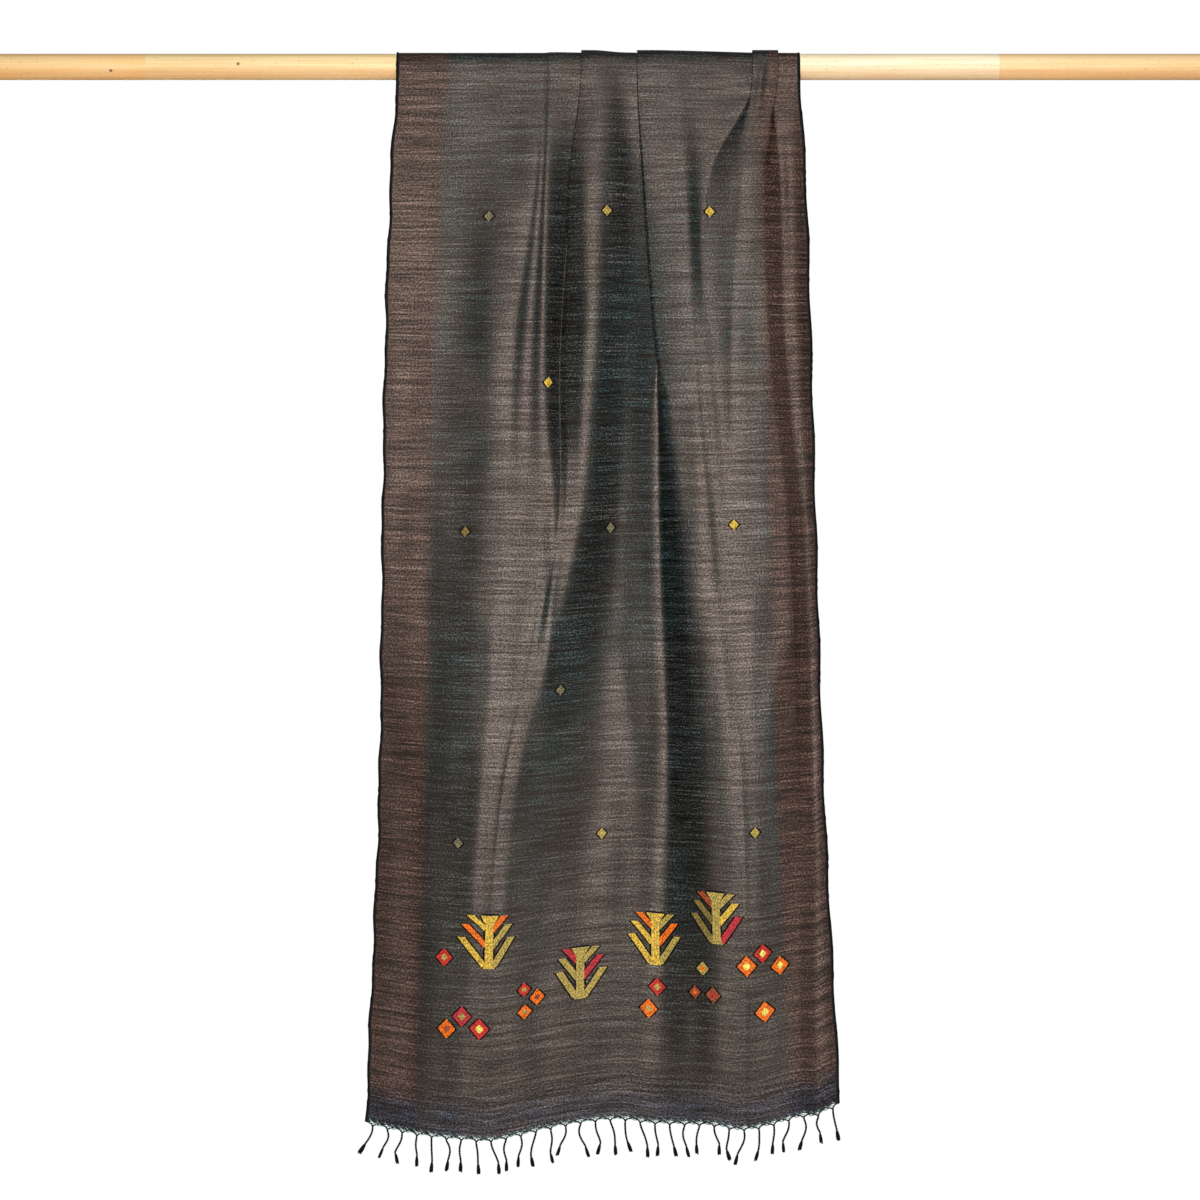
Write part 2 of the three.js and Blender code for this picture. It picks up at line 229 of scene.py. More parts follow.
# x, forward, lap and rise have a value for each of LEVELS: the place of the fold line, how far it
# stands out, how far a pleat's hidden layer runs behind its edge, and how high its upper layer lies.
FOLDS = [
    {"name": "left edge", "hem": 1136,
     "x": [-216.5, -223, -229, -232, -236, -250], "forward": [0, 1, 0, -1, -4, -3]},
    {"name": "left trough", "hem": 1147,
     "x": [-165, -160, -168, -176, -184, -198], "forward": [0, -2, 0, 3, 6, 4]},
    {"name": "left crest", "hem": 1151,
     "x": [-66, -70, -96, -108, -130, -152], "forward": [0, 8, 12, 15, 18, 9]},
    {"name": "furrow beside it", "hem": 1151,
     "x": [-57, -61, -75, -84, -119, -141], "forward": [0, 5, 4.5, 12, 17.6, 9.2]},
    {"name": "narrow crest", "hem": 1153,
     "x": [-50, -53, -56, -57, -108.5, -130], "forward": [1, 7.5, 11, 15.5, 17, 9.3]},
    {"name": "small pleat", "hem": 1153, "over": "right",
     "x": [-18, -31, -34, -37, -97.5, -118], "forward": [0, -4, -4, 13, 16, 9.4],
     "lap": [12, 6, -7, -8, -7, -7], "rise": [3, 7, 7, 1.5, -0.4, -0.2]},
    {"name": "middle crest", "hem": 1152,
     "x": [0, -6, -8, -16, -86, -106], "forward": [3, 9, 13, 14.5, 14.5, 9.2]},
    {"name": "foot of the middle slope", "hem": 1136,
     "x": [14, 16, 22, 12, -16, -36], "forward": [1.5, 4, 1, -3, -4, 3]},
    {"name": "middle valley", "hem": 1130,
     "x": [26, 36, 42, 37, 42, 24], "forward": [0.5, -4, -6, -6.5, -9, -3]},
    {"name": "large pleat", "hem": 1136, "over": "right",
     "x": [42, 47.5, 61, 87, 113, 127], "forward": [0, -8, -12, -14, -14.5, -4],
     "lap": [20, 15, 5, -20, -38, -74], "rise": [3, 12, 18, 27, 29.5, 13]},
    {"name": "right crest", "hem": 1141,
     "x": [76, 88, 98, 116, 140, 148], "forward": [3, 7, 12, 17.5, 20, 11]},
    {"name": "bunched pleat", "hem": 1140, "over": "right",
     "x": [166, 148, 136, 137, 161, 164], "forward": [0, 1.5, 8.5, 15, 21, 11.5],
     "lap": [9, -32, -26, -9, -7, -7], "rise": [3, 6, 3.5, 1, -0.5, -0.5]},
    {"name": "outer crest", "hem": 1137,
     "x": [178, 158, 147, 156, 176, 180], "forward": [3, 9, 14, 17.5, 20, 11]},
    {"name": "border pleat", "hem": 1126.5, "over": "left",
     "x": [194, 177, 181, 202, 212, 216], "forward": [0, 2, 7, 9, 9, 7],
     "lap": [10, -20, -21, -19, -19, -20], "rise": [3, 7, 5, 5, 5, 2.5]},
    {"name": "border crest", "hem": 1119,
     "x": [206, 208, 214, 227, 236.5, 246], "forward": [0, 4.5, 8, 8.5, 9, 7]},
    {"name": "right edge", "hem": 1115,
     "x": [217, 223.5, 229, 234, 242.5, 260], "forward": [0, 1, 4, 6.5, 7.5, 4]},
]
print(len(FOLDS), "folds")


# %% One cross-section of the cloth
def column_at(column, depth):
    """The value of a table column at a depth, on a smooth curve through its levels."""
    last = len(LEVELS) - 1
    reach = min(depth, LEVELS[last])
    k = 0
    while k < last - 1 and reach > LEVELS[k + 1]:
        k += 1

    def slope(i):
        after = min(i + 1, last)
        return 0 if i == 0 else (column[after] - column[i - 1]) / (LEVELS[after] - LEVELS[i - 1])

    span = LEVELS[k + 1] - LEVELS[k]
    t = (reach - LEVELS[k]) / span
    lead = slope(k) * span * t * (1 - t) ** 2
    trail = slope(k + 1) * span * t ** 2 * (1 - t)
    return mix(column[k], column[k + 1], ease(t)) + lead - trail


def pleat_corners(fold, depth):
    """The four corners of a pleat as steps from its edge, and how soft they are."""
    lap = column_at(fold["lap"], depth)
    rise = column_at(fold["rise"], depth)
    shut = ease((lap - PLEAT_OPEN) / (PLEAT_SHUT - PLEAT_OPEN))
    corners = [
        (lap, 0),
        (lap * mix(2 / 3, 1, shut), rise * mix(1 / 3, 1 / 2, shut)),
        (lap * mix(1 / 3, 0, shut), rise * mix(2 / 3, 1 / 2, shut)),
        (0, rise),
    ]
    if fold["over"] == "left":
        corners = [(-x, up) for x, up in reversed(corners)]
    return corners, 1 - shut


def fold_chain(depth, behind):
    """Corners of the section at a depth: x, forward, hem and softness."""
    away = float(ease(depth / BACK_DROP)) if behind else 0.0
    chain = []
    for index, fold in enumerate(FOLDS):
        inside = math.sin(math.pi * index / (len(FOLDS) - 1))
        sway = BACK_SWAY * away * inside * math.sin(0.9 * index)
        deeper = BACK_DEPTH + BACK_DEPTH_CHANGE * math.cos(0.8 * index)
        x = column_at(fold["x"], depth) * (1 - BACK_NARROWING * away) + sway
        forward = column_at(fold["forward"], depth) * mix(1, deeper, away) + BACK_STANDS_OFF * away
        corners, soft = pleat_corners(fold, depth) if "over" in fold else ([(0, 0)], 1)
        for dx, up in corners:
            chain.append((x + dx, forward + up, fold["hem"], soft))
    return np.array(chain)


BEND_POINTS = 7
BEND_STEPS = (np.arange(BEND_POINTS) + 0.5) / BEND_POINTS
EDGE_STEPS = np.array([[0], [0.04], [0.12], [0.24], [0.4], [0.58], [0.78]])


def section(depth, behind=False):
    """Points of the cloth's middle surface at a depth: x, forward and hem."""
    chain = fold_chain(depth, behind)
    corners, soft = chain[:, :3], chain[1:-1, 3]
    back = corners[:-2] - corners[1:-1]
    ahead = corners[2:] - corners[1:-1]
    length_in = np.hypot(back[:, 0], back[:, 1])
    length_out = np.hypot(ahead[:, 0], ahead[:, 1])
    shorter = np.minimum(length_in, length_out)
    t = BEND_STEPS[None, :, None]
    inward = (mix(shorter / length_in, 1, soft) / 2)[:, None, None] * (1 - t) ** 2
    onward = (mix(shorter / length_out, 1, soft) / 2)[:, None, None] * t ** 2
    bends = corners[1:-1, None] + back[:, None] * inward + ahead[:, None] * onward
    left = corners[0] + (bends[0, 0] - corners[0]) * EDGE_STEPS
    right = corners[-1] + (bends[-1, -1] - corners[-1]) * EDGE_STEPS[::-1]
    return np.vstack([left, bends.reshape(-1, 3), right])


print("section at the rod has", len(section(0)), "points")

# %% [markdown]
# ## Small creases
# The big folds alone look like moulded sheet. Real silk also keeps slanted creases where it was
# bunched on the rod, shallow puckers between slack and tight yarns, and an edge that wavers because
# the selvedge was beaten a little tighter than the ground. It also bridges the furrow beside a
# crest instead of following it, so two low ridges fill those. Each of these is under 2 mm.

# %% Creases and puckers, in millimetres
# Each row holds where the crease starts and ends on the front, as x and depth, half its breadth,
# and its rise, which is below nothing for a hollow.
CREASES = {
    "fan crease, long": ((150, -12), (104, 34), 5, 1.6),
    "fan crease, short": ((166, -10), (150, 44), 4, 1.5),
    "fan hollow": ((160, -4), (122, 50), 6, -1.4),
    "fan crease, outer": ((178, -8), (170, 60), 4, 1.3),
    "left slant": ((-190, 300), (-112, 372), 16, 0.9),
    "left slant, lower": ((-176, 430), (-96, 398), 14, -0.9),
    "left hip": ((-150, 560), (-84, 640), 18, 1.0),
    "right slant": ((92, 330), (170, 300), 14, 0.8),
    "right hollow": ((120, 560), (206, 520), 18, -1.0),
    "valley ridge": ((26, 640), (44, 820), 10, 1.1),
    "furrow filled, right": ((86, 20), (146, 660), 9, 1.9),
    "furrow filled, left": ((-41, 400), (-58, 690), 7, 1.8),
    "border sag": ((212, 590), (180, 700), 12, 1.2),
    "hem ripple, left": ((-232, 1100), (-120, 1075), 14, 1.3),
    "hem ripple, middle": ((-30, 1092), (70, 1104), 12, 1.2),
    "hem ripple, right": ((120, 1090), (232, 1066), 14, -1.2),
}
# Each row holds a pucker's breadth across, its length down the cloth and its height.
PUCKERS = ((60, 95, 0.9), (24, 170, 0.8), (21, 34, 0.25))
EDGE_WAVER = 0.9
HEM_SCALLOP = 0.7
STRAND_COUNT = 32


def crease_height(x, depth):
    """How far the small creases lift the front at points x and one depth."""
    total = np.zeros_like(x)
    for start, end, width, height in CREASES.values():
        along = np.subtract(end, start)
        points = np.stack([x, np.full_like(x, depth)], 1) - start
        t = np.clip(points @ along / (along @ along), 0, 1)
        off = np.linalg.norm(points - t[:, None] * along, axis=1)
        fade = np.sin(np.pi * np.clip(0.12 + 0.88 * t, 0, 1))
        total += height * fade * np.exp(-((off / width) ** 2))
    return total


def pucker_height(x, depth, side):
    """Shallow unevenness of a woven cloth that hangs."""
    total = np.zeros_like(x)
    for across, down, height in PUCKERS:
        places = [Vector((v / across, depth / down, side * 7.3)) for v in x]
        total += height * np.array([noise.noise(place) for place in places])
    return total


print(len(CREASES), "small creases")

# %% [markdown]
# ## One sheet
# The three solid stretches are one cloth, so here they become one sheet from hem to hem. Its UV map
# holds the flat cloth in metres, measured along each section, so that yarns, borders and motifs run
# with the cloth. A grid's vertices are moved to the drape, and Solidify gives the silk its
# thickness. A cloth simulation could settle the waves too, but it would lose the flat pleats.

# %% Rows of the sheet
FRONT_ROWS = 150
TURN_ROWS = 18
BACK_ROWS = 84
TURN_LENGTH = math.pi * LAY_RADIUS


def edge_waver(u, depth):
    """Sideways wander of the two selvedges, gone a little way into the cloth."""
    swing = math.sin(depth / 21) + 0.7 * math.sin(depth / 8.7 + 1.3)
    near_left = np.exp(-u / 9)
    near_right = np.exp(-(CLOTH_WIDTH - u) / 9)
    return EDGE_WAVER * (swing * near_left - math.sin(depth / 17.3) * near_right)


def cloth_rows():
    """Every row of the sheet from the front hem to the back one: flat v, flat u, and places."""
    rows = []
    hem_to_rod = FRONT_DROP * (1 - np.linspace(0, 1, FRONT_ROWS) ** 1.15)
    for depth in hem_to_rod:
        rows.append(("front", depth, FRONT_DROP - depth))
    for angle in np.linspace(0, math.pi, TURN_ROWS + 1)[1:-1]:
        rows.append(("turn", angle, FRONT_DROP + LAY_RADIUS * angle))
    for depth in BACK_DROP * np.linspace(0, 1, BACK_ROWS) ** 1.15:
        rows.append(("back", depth, FRONT_DROP + TURN_LENGTH + depth))
    return rows


def flat_across(points):
    """Distance from the left selvedge along a section, as a place on the flat cloth."""
    steps = np.hypot(*np.diff(points[:, :2], axis=0).T)
    run = np.concatenate([[0], np.cumsum(steps)])
    return CLOTH_WIDTH * run / run[-1]


def place_row(part, where):
    """The flat u and the places, in metres, of one row of the sheet."""
    depth = 0 if part == "turn" else where
    points = section(depth, part == "back")
    u = flat_across(points)
    x, forward, hem = points.T
    side = {"front": 0, "turn": 0, "back": 1}[part]
    hang = float(ease((depth - 8) / 40))
    if part == "front":
        forward = forward + crease_height(x, depth)
    forward = forward + hang * pucker_height(x, depth, side)
    x = x + hang * edge_waver(u, depth)
    radius = LAY_RADIUS + forward
    if part == "turn":
        return u, np.stack([x, -radius * math.cos(where), radius * math.sin(where)], 1) * MM
    drop = FRONT_DROP if part == "front" else BACK_DROP
    hang_to = hem if part == "front" else CLOTH_LENGTH - TURN_LENGTH - hem
    scallop = HEM_SCALLOP * np.cos(2 * np.pi * STRAND_COUNT * u / CLOTH_WIDTH)
    near_hem = max(0.0, 1 - (drop - depth) / 12)
    z = -depth - (hang_to - drop) * (depth / drop) ** 2 - scallop * near_hem
    return u, np.stack([x, (-radius if part == "front" else radius), z], 1) * MM


SHEET = cloth_rows()
ROW_V = np.array([v for _, _, v in SHEET])
placed = [place_row(part, where) for part, where, _ in SHEET]
ROW_U = np.array([u for u, _ in placed])
ROW_AT = np.array([at for _, at in placed])
print("sheet of", ROW_AT.shape[0], "rows by", ROW_AT.shape[1], "columns")

# %% The sheet's mesh
SILK_THICKNESS = 0.5

deselect_all()
bpy.ops.mesh.primitive_grid_add(
    x_subdivisions=ROW_AT.shape[1] - 1, y_subdivisions=ROW_AT.shape[0] - 1, size=2)
scarf = bpy.context.object
flat = np.empty(len(scarf.data.vertices) * 3)
scarf.data.vertices.foreach_get("co", flat)
flat = flat.reshape(-1, 3)
column = np.rint((flat[:, 0] + 1) / 2 * (ROW_AT.shape[1] - 1)).astype(int)
row = np.rint((flat[:, 1] + 1) / 2 * (ROW_AT.shape[0] - 1)).astype(int)
scarf.data.vertices.foreach_set("co", ROW_AT[row, column].ravel())

uv_layer = scarf.data.uv_layers[0]
uv_layer.name = "flat_cloth"
corner_vertex = np.empty(len(scarf.data.loops), dtype=np.int32)
scarf.data.loops.foreach_get("vertex_index", corner_vertex)
vertex_uv = np.stack([ROW_U[row, column], ROW_V[row]], 1) * MM
uv_layer.data.foreach_set("uv", vertex_uv[corner_vertex].ravel())

thickness = scarf.modifiers.new("silk", "SOLIDIFY")
thickness.thickness = SILK_THICKNESS * MM
thickness.offset = 0
bpy.ops.object.modifier_apply(modifier="silk")
bpy.ops.object.shade_smooth_by_angle(angle=math.radians(60))
print("scarf has", len(scarf.data.polygons), "faces")

# %% [markdown]
# ## Slubbed silk
# The ground is raw silk: its weft yarns are thick and thin along their length, so short light and
# dark dashes run across the cloth, and now and then a whole pick is paler. The warp is a cooler,
# greener yarn than the weft, which is why the cloth turns teal where it slopes away, and its ends
# differ a little, which leaves faint stripes. The warp at the sides is dyed red-brown. The brocaded
# end is browner and duller with wear, and the last picks before the fringe are blue-black.
#
# A silk yarn mirrors light across its length, so the weft flashes only where a fold faces the light:
# an anisotropic gloss, long down the cloth and narrow across it. The thread spacing is really about
# 0.5 mm and is drawn twice as coarse so that it shows.

# %% The ground cloth's finish
BORDER = 55
SELVEDGE = 3.0
HEM_BAND = 46
THREAD = 1.05
WORN_FROM, WORN_TO = 430, 60
# Each row holds a pattern's size across and along the cloth, in millimetres, and its detail.
SILK_PATTERNS = {
    "cloud": (150, 230, 3),
    "band": (420, 7, 2),
    "slub": (60, 2.0, 3),
    "long_slub": (120, 2.0, 1),
    "dark_pick": (42, 1.9, 1),
    "stripe": (26, 1500, 2),
    "grain": (2.1, 1.8, 1),
}


def varied(tree, rows):
    """A number made uneven: each source runs from one factor to another between two limits."""
    total = None
    for source, low, high, at_low, at_high in rows:
        factor = add_node(tree, "ShaderNodeMapRange", {
            "From Min": low, "From Max": high, "To Min": at_low, "To Max": at_high},
            {"Value": source}, interpolation_type="SMOOTHSTEP").outputs[0]
        if total is not None:
            factor = add_node(tree, "ShaderNodeMath", links={0: total, 1: factor},
                              operation="MULTIPLY").outputs[0]
        total = factor
    return total


def dyed(tree, base, layers):
    """A colour with dyes over it: each covers the rest where its source passes two limits."""
    for source, low, high, most, dye in layers:
        values = {7: colour(dye)}
        links = {"Factor": varied(tree, [(source, low, high, 0, most)])}
        (values if isinstance(base, tuple) else links)[6] = base
        base = add_node(tree, "ShaderNodeMix", values, links, data_type="RGBA").outputs[2]
    return base


silk, tree, shader = new_material(
    "slubbed_raw_silk_shot_with_teal", Roughness=0.36, Anisotropic=0.5, Anisotropic_Rotation=0.25,
    Specular_IOR_Level=0.36, Specular_Tint=colour("#ffe3d2"))
flat_uv = add_node(tree, "ShaderNodeUVMap", uv_map="flat_cloth")
in_mm = add_node(tree, "ShaderNodeMapping", {"Scale": (1000, 1000, 1)},
                 {"Vector": flat_uv.outputs[0]}).outputs[0]
split = add_node(tree, "ShaderNodeSeparateXYZ", links={0: in_mm})
flat_u, flat_v = split.outputs[0], split.outputs[1]
pattern = {}
for seed, (name, (size_u, size_v, detail)) in enumerate(SILK_PATTERNS.items(), 1):
    stretched = add_node(tree, "ShaderNodeMapping", {
        "Scale": (1 / size_u, 1 / size_v, 1), "Location": (0, 0, seed * 10)}, {"Vector": in_mm})
    speck = add_node(tree, "ShaderNodeTexNoise", {
        "Scale": 1.0, "Detail": detail, "Roughness": 0.6}, {"Vector": stretched.outputs[0]})
    pattern[name] = speck.outputs["Fac"]

from_middle = add_node(tree, "ShaderNodeMath", {1: CLOTH_WIDTH / 2}, {0: flat_u},
                       operation="SUBTRACT")
off_middle = add_node(tree, "ShaderNodeMath", links={0: from_middle.outputs[0]},
                      operation="ABSOLUTE").outputs[0]
half = CLOTH_WIDTH / 2
selvedge_limits = (half - SELVEDGE - 0.5, half - SELVEDGE + 0.5)
border_limits = (half - BORDER - 5, half - BORDER + 4)
# Teal warp, its browner stretches, the worn end, the side borders, the dark picks before each
# fringe, and then the single yarns.
ground = dyed(tree, colour("#10292b"), [
    (pattern["cloud"], 0.36, 0.62, 1, "#1f2222"),
    (flat_v, WORN_FROM, WORN_TO, 0.7, "#1c1611"),
    (off_middle, *border_limits, 1, "#40261f"),
    (flat_v, HEM_BAND, HEM_BAND * 0.35, 1, "#0f1e33"),
    (flat_v, CLOTH_LENGTH - 70, CLOTH_LENGTH - 30, 1, "#0f1e33"),
    (pattern["slub"], 0.52, 0.72, 0.25, "#66534d"),
    (pattern["grain"], 0.46, 0.66, 0.28, "#5a615c"),
    (pattern["long_slub"], 0.62, 0.74, 0.4, "#6a5e57"),
    (pattern["dark_pick"], 0.48, 0.36, 0.85, "#070606"),
])
tone = varied(tree, [
    (pattern["band"], 0.34, 0.66, 0.48, 0.98), (pattern["stripe"], 0.3, 0.7, 0.82, 1.18),
    (pattern["slub"], 0.38, 0.62, 0.48, 1.4), (pattern["grain"], 0.36, 0.62, 0.25, 1.5)])
shaded = add_node(tree, "ShaderNodeVectorMath", links={0: ground, "Scale": tone}, operation="SCALE")
cloth_colour = dyed(tree, shaded.outputs[0], [(off_middle, *selvedge_limits, 1, "#110f12")])
tree.links.new(cloth_colour, shader.inputs["Base Color"])
gloss = varied(tree, [
    (pattern["slub"], 0.38, 0.62, 0.45, 0.32), (pattern["grain"], 0.36, 0.62, 1.28, 0.86),
    (pattern["band"], 0.34, 0.66, 1.1, 0.9), (flat_v, WORN_FROM, WORN_TO, 1, 1.15),
    (off_middle, *border_limits, 1, 1.17), (flat_v, WORN_TO, 20, 1, 1.25)])
matt_selvedge = varied(tree, [(off_middle, *selvedge_limits, 0, 1)])
roughness = add_node(tree, "ShaderNodeMath", links={0: gloss, 1: matt_selvedge},
                     operation="MAXIMUM")
tree.links.new(roughness.outputs[0], shader.inputs["Roughness"])

threads = []
for axis in (flat_u, flat_v):
    turned = add_node(tree, "ShaderNodeMath", {1: 2 * math.pi / THREAD}, {0: axis},
                      operation="MULTIPLY")
    threads.append(add_node(tree, "ShaderNodeMath", links={0: turned.outputs[0]},
                            operation="SINE").outputs[0])
weave = add_node(tree, "ShaderNodeMath", links={0: threads[0], 1: threads[1]},
                 operation="MULTIPLY")
raised = add_node(tree, "ShaderNodeMath", {1: 0.14}, {0: weave.outputs[0], 2: pattern["slub"]},
                  operation="MULTIPLY_ADD")
raised = add_node(tree, "ShaderNodeMath", links={0: pattern["grain"], 1: raised.outputs[0]},
                  operation="ADD")
bump = add_node(tree, "ShaderNodeBump", {"Strength": 0.55, "Distance": 0.0003},
                {"Height": raised.outputs[0]})
tree.links.new(bump.outputs[0], shader.inputs["Normal"])
tangent = add_node(tree, "ShaderNodeTangent", direction_type="UV_MAP", uv_map="flat_cloth")
tree.links.new(tangent.outputs[0], shader.inputs["Tangent"])

finish_object(scarf, "scarf_cloth", silk)
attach(scarf, "root")
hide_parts("scarf_front", "scarf_turn", "scarf_back")
print("silk has", len(tree.nodes), "nodes")

# %% [markdown]
# ## Places on the cloth
# Selvedges, brocade and fringe all belong to the flat cloth. A table of the sheet, with an entry
# for each millimetre across, turns a flat place and a height above it into a place in space.

# %% From the flat cloth to the drape
ACROSS = np.arange(0, CLOTH_WIDTH + 1)
TABLE = np.array([
    np.stack([np.interp(ACROSS, ROW_U[r], ROW_AT[r, :, axis]) for axis in range(3)], 1)
    for r in range(len(ROW_V))])


def middle_at(u, v):
    """Places of the cloth's middle surface for arrays of flat u and v, in millimetres."""
    row = np.clip(np.searchsorted(ROW_V, v) - 1, 0, len(ROW_V) - 2)
    tv = (v - ROW_V[row]) / (ROW_V[row + 1] - ROW_V[row])
    left = np.clip(np.floor(u).astype(int), 0, CLOTH_WIDTH - 1)
    tu = (u - left)[:, None]
    tv = tv[:, None]
    lower = TABLE[row, left] * (1 - tu) + TABLE[row, left + 1] * tu
    upper = TABLE[row + 1, left] * (1 - tu) + TABLE[row + 1, left + 1] * tu
    return lower * (1 - tv) + upper * tv


def on_cloth(u, v, height):
    """Places at a height, in millimetres, above the cloth's face."""
    reach = 2.0
    across = middle_at(u + reach, v) - middle_at(u - reach, v)
    up = middle_at(u, v + reach) - middle_at(u, v - reach)
    return middle_at(u, v) + unit(np.cross(across, up)) * (height * MM)[:, None]


print("table holds", TABLE.shape[:2])


# %% Meshes as lists of points and faces
def take_shape(piece):
    """The vertices, in millimetres, and faces of a modelled piece, which is then removed."""
    points = np.array([list(v.co) for v in piece.data.vertices]) / MM
    faces = [list(p.vertices) for p in piece.data.polygons]
    bpy.data.objects.remove(piece)
    return points, faces


def join_shapes(name, parts, materials):
    """One object from many placed copies: points in metres, faces and a material number."""
    points, faces, finishes = [], [], []
    count = 0
    for where, corners, finish in parts:
        points.append(where)
        faces.extend([[c + count for c in face] for face in corners])
        finishes.extend([finish] * len(corners))
        count += len(where)
    mesh = bpy.data.meshes.new(name)
    mesh.from_pydata(np.vstack(points).tolist(), [], faces)
    mesh.polygons.foreach_set("material_index", finishes)
    mesh.polygons.foreach_set("use_smooth", [True] * len(faces))
    for material in materials:
        mesh.materials.append(material)
    mesh.validate()
    piece = bpy.data.objects.new(name, mesh)
    bpy.context.collection.objects.link(piece)
    return piece


# %% [markdown]
# ## Yarn finishes
# The brocade is thick, soft silk yarn in bright dyes, laid in by hand between two picks of ground.
# Untwisted silk has a satin gloss and fine streaks, drawn about 1 mm broad so that they show. The
# fringe is the warp itself, near black with a teal cast, twisted hard and so much duller.

# %% Brocade and fringe yarn
YARN_DYES = {
    "gold": "#c4a23a",
    "old_gold": "#a18c45",
    "olive": "#75642f",
    "dim_gold": "#6c6648",
    "orange": "#dc6408",
    "rust": "#8c4020",
    "crimson": "#a8262e",
    "red": "#b4281c",
    "yellow": "#f0cc60",
    # The dark yarn frames the motifs with little shine: partly outline weft, partly painted shadow
    # round them.
    "dark": "#08070b",
}


def yarn_material(name, base, rough, streak, shine=0.3):
    """Dyed silk yarn, streaked where its filaments lie light and dark."""
    material, tree, shader = new_material(name, Roughness=rough, Specular_IOR_Level=shine)
    place = add_node(tree, "ShaderNodeTexCoord")
    lift = add_node(tree, "ShaderNodeTexNoise", {"Scale": 760.0, "Detail": 1.0},
                    {"Vector": place.outputs["Object"]})
    share = varied(tree, [(lift.outputs["Fac"], 0.4, 0.56, 0, 1)])
    dark = tuple(c * (1 - streak) for c in base[:3]) + (1.0,)
    light = tuple(min(c * (1 + streak), 1) for c in base[:3]) + (1.0,)
    yarn = add_node(tree, "ShaderNodeMix", {6: dark, 7: light}, {"Factor": share},
                    data_type="RGBA")
    tree.links.new(yarn.outputs[2], shader.inputs["Base Color"])
    bump = add_node(tree, "ShaderNodeBump", {"Strength": 0.4, "Distance": 0.0001},
                    {"Height": lift.outputs["Fac"]})
    tree.links.new(bump.outputs[0], shader.inputs["Normal"])
    return material


DYES = list(YARN_DYES)
BROCADE = [
    yarn_material("brocade_silk_" + dye, colour(YARN_DYES[dye]), 0.5, 0.5,
                  0.04 if dye == "dark" else 0.3)
    for dye in DYES]
FRINGE_YARN = yarn_material("twisted_warp_yarn_teal_black", colour("#040608"), 0.9, 0.5, 0.15)
TEAL_THREAD = yarn_material("hem_thread_teal", colour("#6f938d"), 0.7, 0.35)
print(len(BROCADE), "brocade dyes")

# %% [markdown]
# ## Selvedges
# At each side the weft turns back round the last warp ends, which leaves a hard dark edge with a
# small nub at every thick pick. A thin cord that swells at the nubs follows the sheet's edge.

# %% The two selvedge cords
CORD_SIDES = 6
CORD_RADIUS = 1.0
NUB = 0.6
NUB_EVERY = 4.0


def ring_faces(rings, sides):
    """Faces of a tube of rings, with a cap at each end."""
    faces = []
    for r in range(rings - 1):
        for s in range(sides):
            a, b = r * sides + s, r * sides + (s + 1) % sides
            faces.append([a, b, b + sides, a + sides])
    faces.append(list(range(sides))[::-1])
    faces.append([(rings - 1) * sides + s for s in range(sides)])
    return faces


def tube_points(path, radii, sides, reference):
    """Rings round a path. The reference direction fixes where each ring starts."""
    ahead = unit(np.gradient(path, axis=0))
    first = unit(np.cross(ahead, reference))
    second = np.cross(ahead, first)
    turns = 2 * np.pi * np.arange(sides) / sides
    ring = first[:, None] * np.cos(turns)[:, None] + second[:, None] * np.sin(turns)[:, None]
    return (path[:, None] + ring * np.asarray(radii)[:, None, None]).reshape(-1, 3)


def selvedge(side):
    """The cord at one edge: points, faces and finish."""
    v = np.arange(0, ROW_V[-1], NUB_EVERY)
    u = np.full_like(v, 0.4 if side == "left" else CLOTH_WIDTH - 0.4)
    path = middle_at(u, v)
    seed = 11 if side == "left" else 12
    swell = np.array([max(0.0, uneven(k, seed)) ** 3 for k in range(len(v))])
    radii = (CORD_RADIUS + NUB * swell) * MM
    outward = np.array([1.0, 0.0, 0.0])
    return tube_points(path, radii, CORD_SIDES, outward), ring_faces(len(v), CORD_SIDES), 0


cords = join_shapes("selvedge_cords", [selvedge("left"), selvedge("right")], [FRINGE_YARN])
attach(cords, "root")
print("selvedges have", len(cords.data.polygons), "faces")

# %% [markdown]
# ## Brocade
# Every motif is built up from picks, as on the loom: one float of thick yarn for each run of warp
# ends. A little tree is a stem with a flared top and three pairs of rising branches. A lozenge is a
# stack of floats that grow and shrink, with a second colour in its heart. Both are worked out by
# rule on the flat cloth and then laid on the drape, on the face and on the reverse.

# %% One float of yarn
PICK = 1.35
FLOAT_SIDES = 5
FLOAT_RINGS = [(-0.5, 0.5), (-0.3, 1.0), (0.3, 1.0), (0.5, 0.5)]
FLOAT_WIDTH = 1.5
FLOAT_HEIGHT = 0.7
FLOAT_OVERLAP = 0.3
FLOAT_CLEAR = 0.1
STITCH = 3.2

deselect_all()
bpy.ops.mesh.primitive_cylinder_add(vertices=FLOAT_SIDES, radius=0.5 * MM, depth=MM)
pattern_float = bpy.context.object
bisect_at([cut for cut, _ in FLOAT_RINGS[1:-1]], (0, 0, 1))
FLOAT_POINTS, FLOAT_FACES = take_shape(pattern_float)
for height, swell in FLOAT_RINGS:
    ring = np.abs(FLOAT_POINTS[:, 2] - height) < 0.01
    FLOAT_POINTS[ring, :2] *= swell
print("a float has", len(FLOAT_FACES), "faces")


def lay_run(start, end, v, dye, side):
    """A run on pick v. The face is tied down every few warp ends, the reverse floats free."""
    count = max(1, round((end - start) / STITCH)) if side > 0 else 1
    step = (end - start) / count
    shift = 0.25 * step if round(v / PICK) % 2 and count > 1 else 0
    cuts = [start] + [start + k * step + shift for k in range(1, count)] + [end]
    return [lay_float(a, b, v, dye, side) for a, b in zip(cuts[:-1], cuts[1:])]


